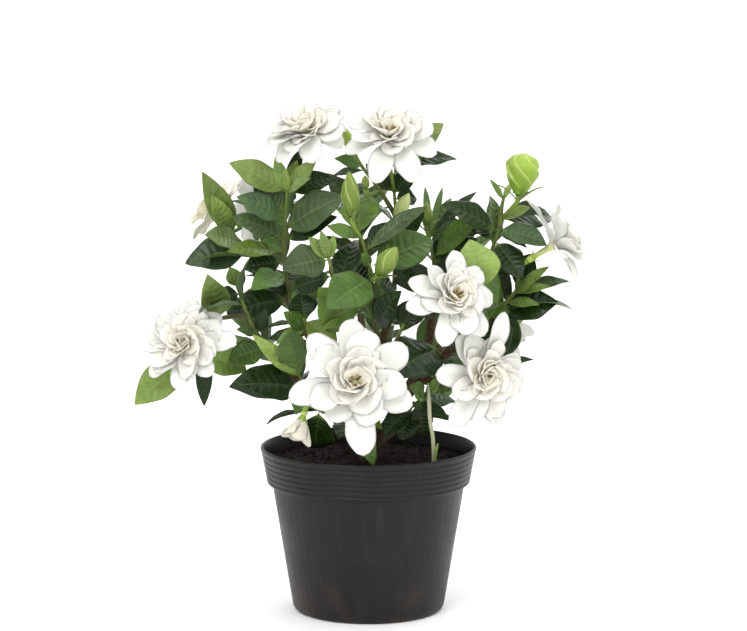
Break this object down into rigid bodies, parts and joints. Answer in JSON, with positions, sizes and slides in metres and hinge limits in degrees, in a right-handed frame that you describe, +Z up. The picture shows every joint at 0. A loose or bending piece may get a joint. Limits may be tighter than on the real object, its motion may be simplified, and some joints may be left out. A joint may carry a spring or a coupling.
{
  "type": "potted gardenia",
  "caption": "Double white gardenia shrub with glossy evergreen leaves, blooms and buds, growing in a black plastic nursery pot of soil.",
  "frame": {"origin": "centre of the pot's underside, on the ground", "axes": "+Z up, -Y towards the viewer of the picture, +X to the viewer's right"},
  "size_m": [0.3665, 0.2997, 0.4214],
  "materials": {
    "pot_plastic": "satin black, lightly dusty",
    "potting_soil": "loose, rough",
    "bark": "rough",
    "leaf_green": "glossy, waxy",
    "petal_white": "matt, velvety",
    "petal_spent": "matt, wilted",
    "bud_green": "smooth",
    "grass": "dry, matt"
  },
  "bodies": {
    "root": {"bloom_back_left": "petal_white", "bloom_back_right": "petal_white", "bloom_front": "petal_white", "bloom_left": "petal_white", "bloom_left_back": "petal_white", "bloom_low_right": "petal_white", "bloom_mid_right": "petal_white", "bloom_right": "petal_white", "bloom_spent": "petal_spent", "bloom_top_left": "petal_white", "bloom_top_right": "petal_white", "bud_back_left": "bud_green", "bud_back_right": "bud_green", "bud_centre_round": "bud_green", "bud_centre_tall": "bud_green", "bud_high_right": "bud_green", "bud_right_opening": "bud_green", "bud_small": "bud_green", "bud_top_left": "bud_green", "bud_top_pale": "bud_green", "dry_grass": "grass", "leafy_stem_back_high": "leaf_green", "leafy_stem_back_left_high": "leaf_green", "leafy_stem_back_left_low": "leaf_green", "leafy_stem_back_low": "leaf_green", "leafy_stem_back_right_high": "leaf_green", "leafy_stem_back_right_low": "leaf_green", "leafy_stem_centre": "leaf_green", "leafy_stem_centre_left": "leaf_green", "leafy_stem_centre_right": "leaf_green", "leafy_stem_front": "leaf_green", "leafy_stem_high_right": "leaf_green", "leafy_stem_left_back": "leaf_green", "leafy_stem_left_front": "leaf_green", "leafy_stem_left_low": "leaf_green", "leafy_stem_low_front": "leaf_green", "leafy_stem_low_right": "leaf_green", "leafy_stem_mid_left": "leaf_green", "leafy_stem_mid_right": "leaf_green", "leafy_stem_right": "leaf_green", "leafy_stem_top": "leaf_green", "leafy_stem_upper_left": "leaf_green", "leafy_stem_upper_right": "leaf_green", "pot": "pot_plastic", "soil": "potting_soil", "trunk": "bark"}
  },
  "joints": []
}
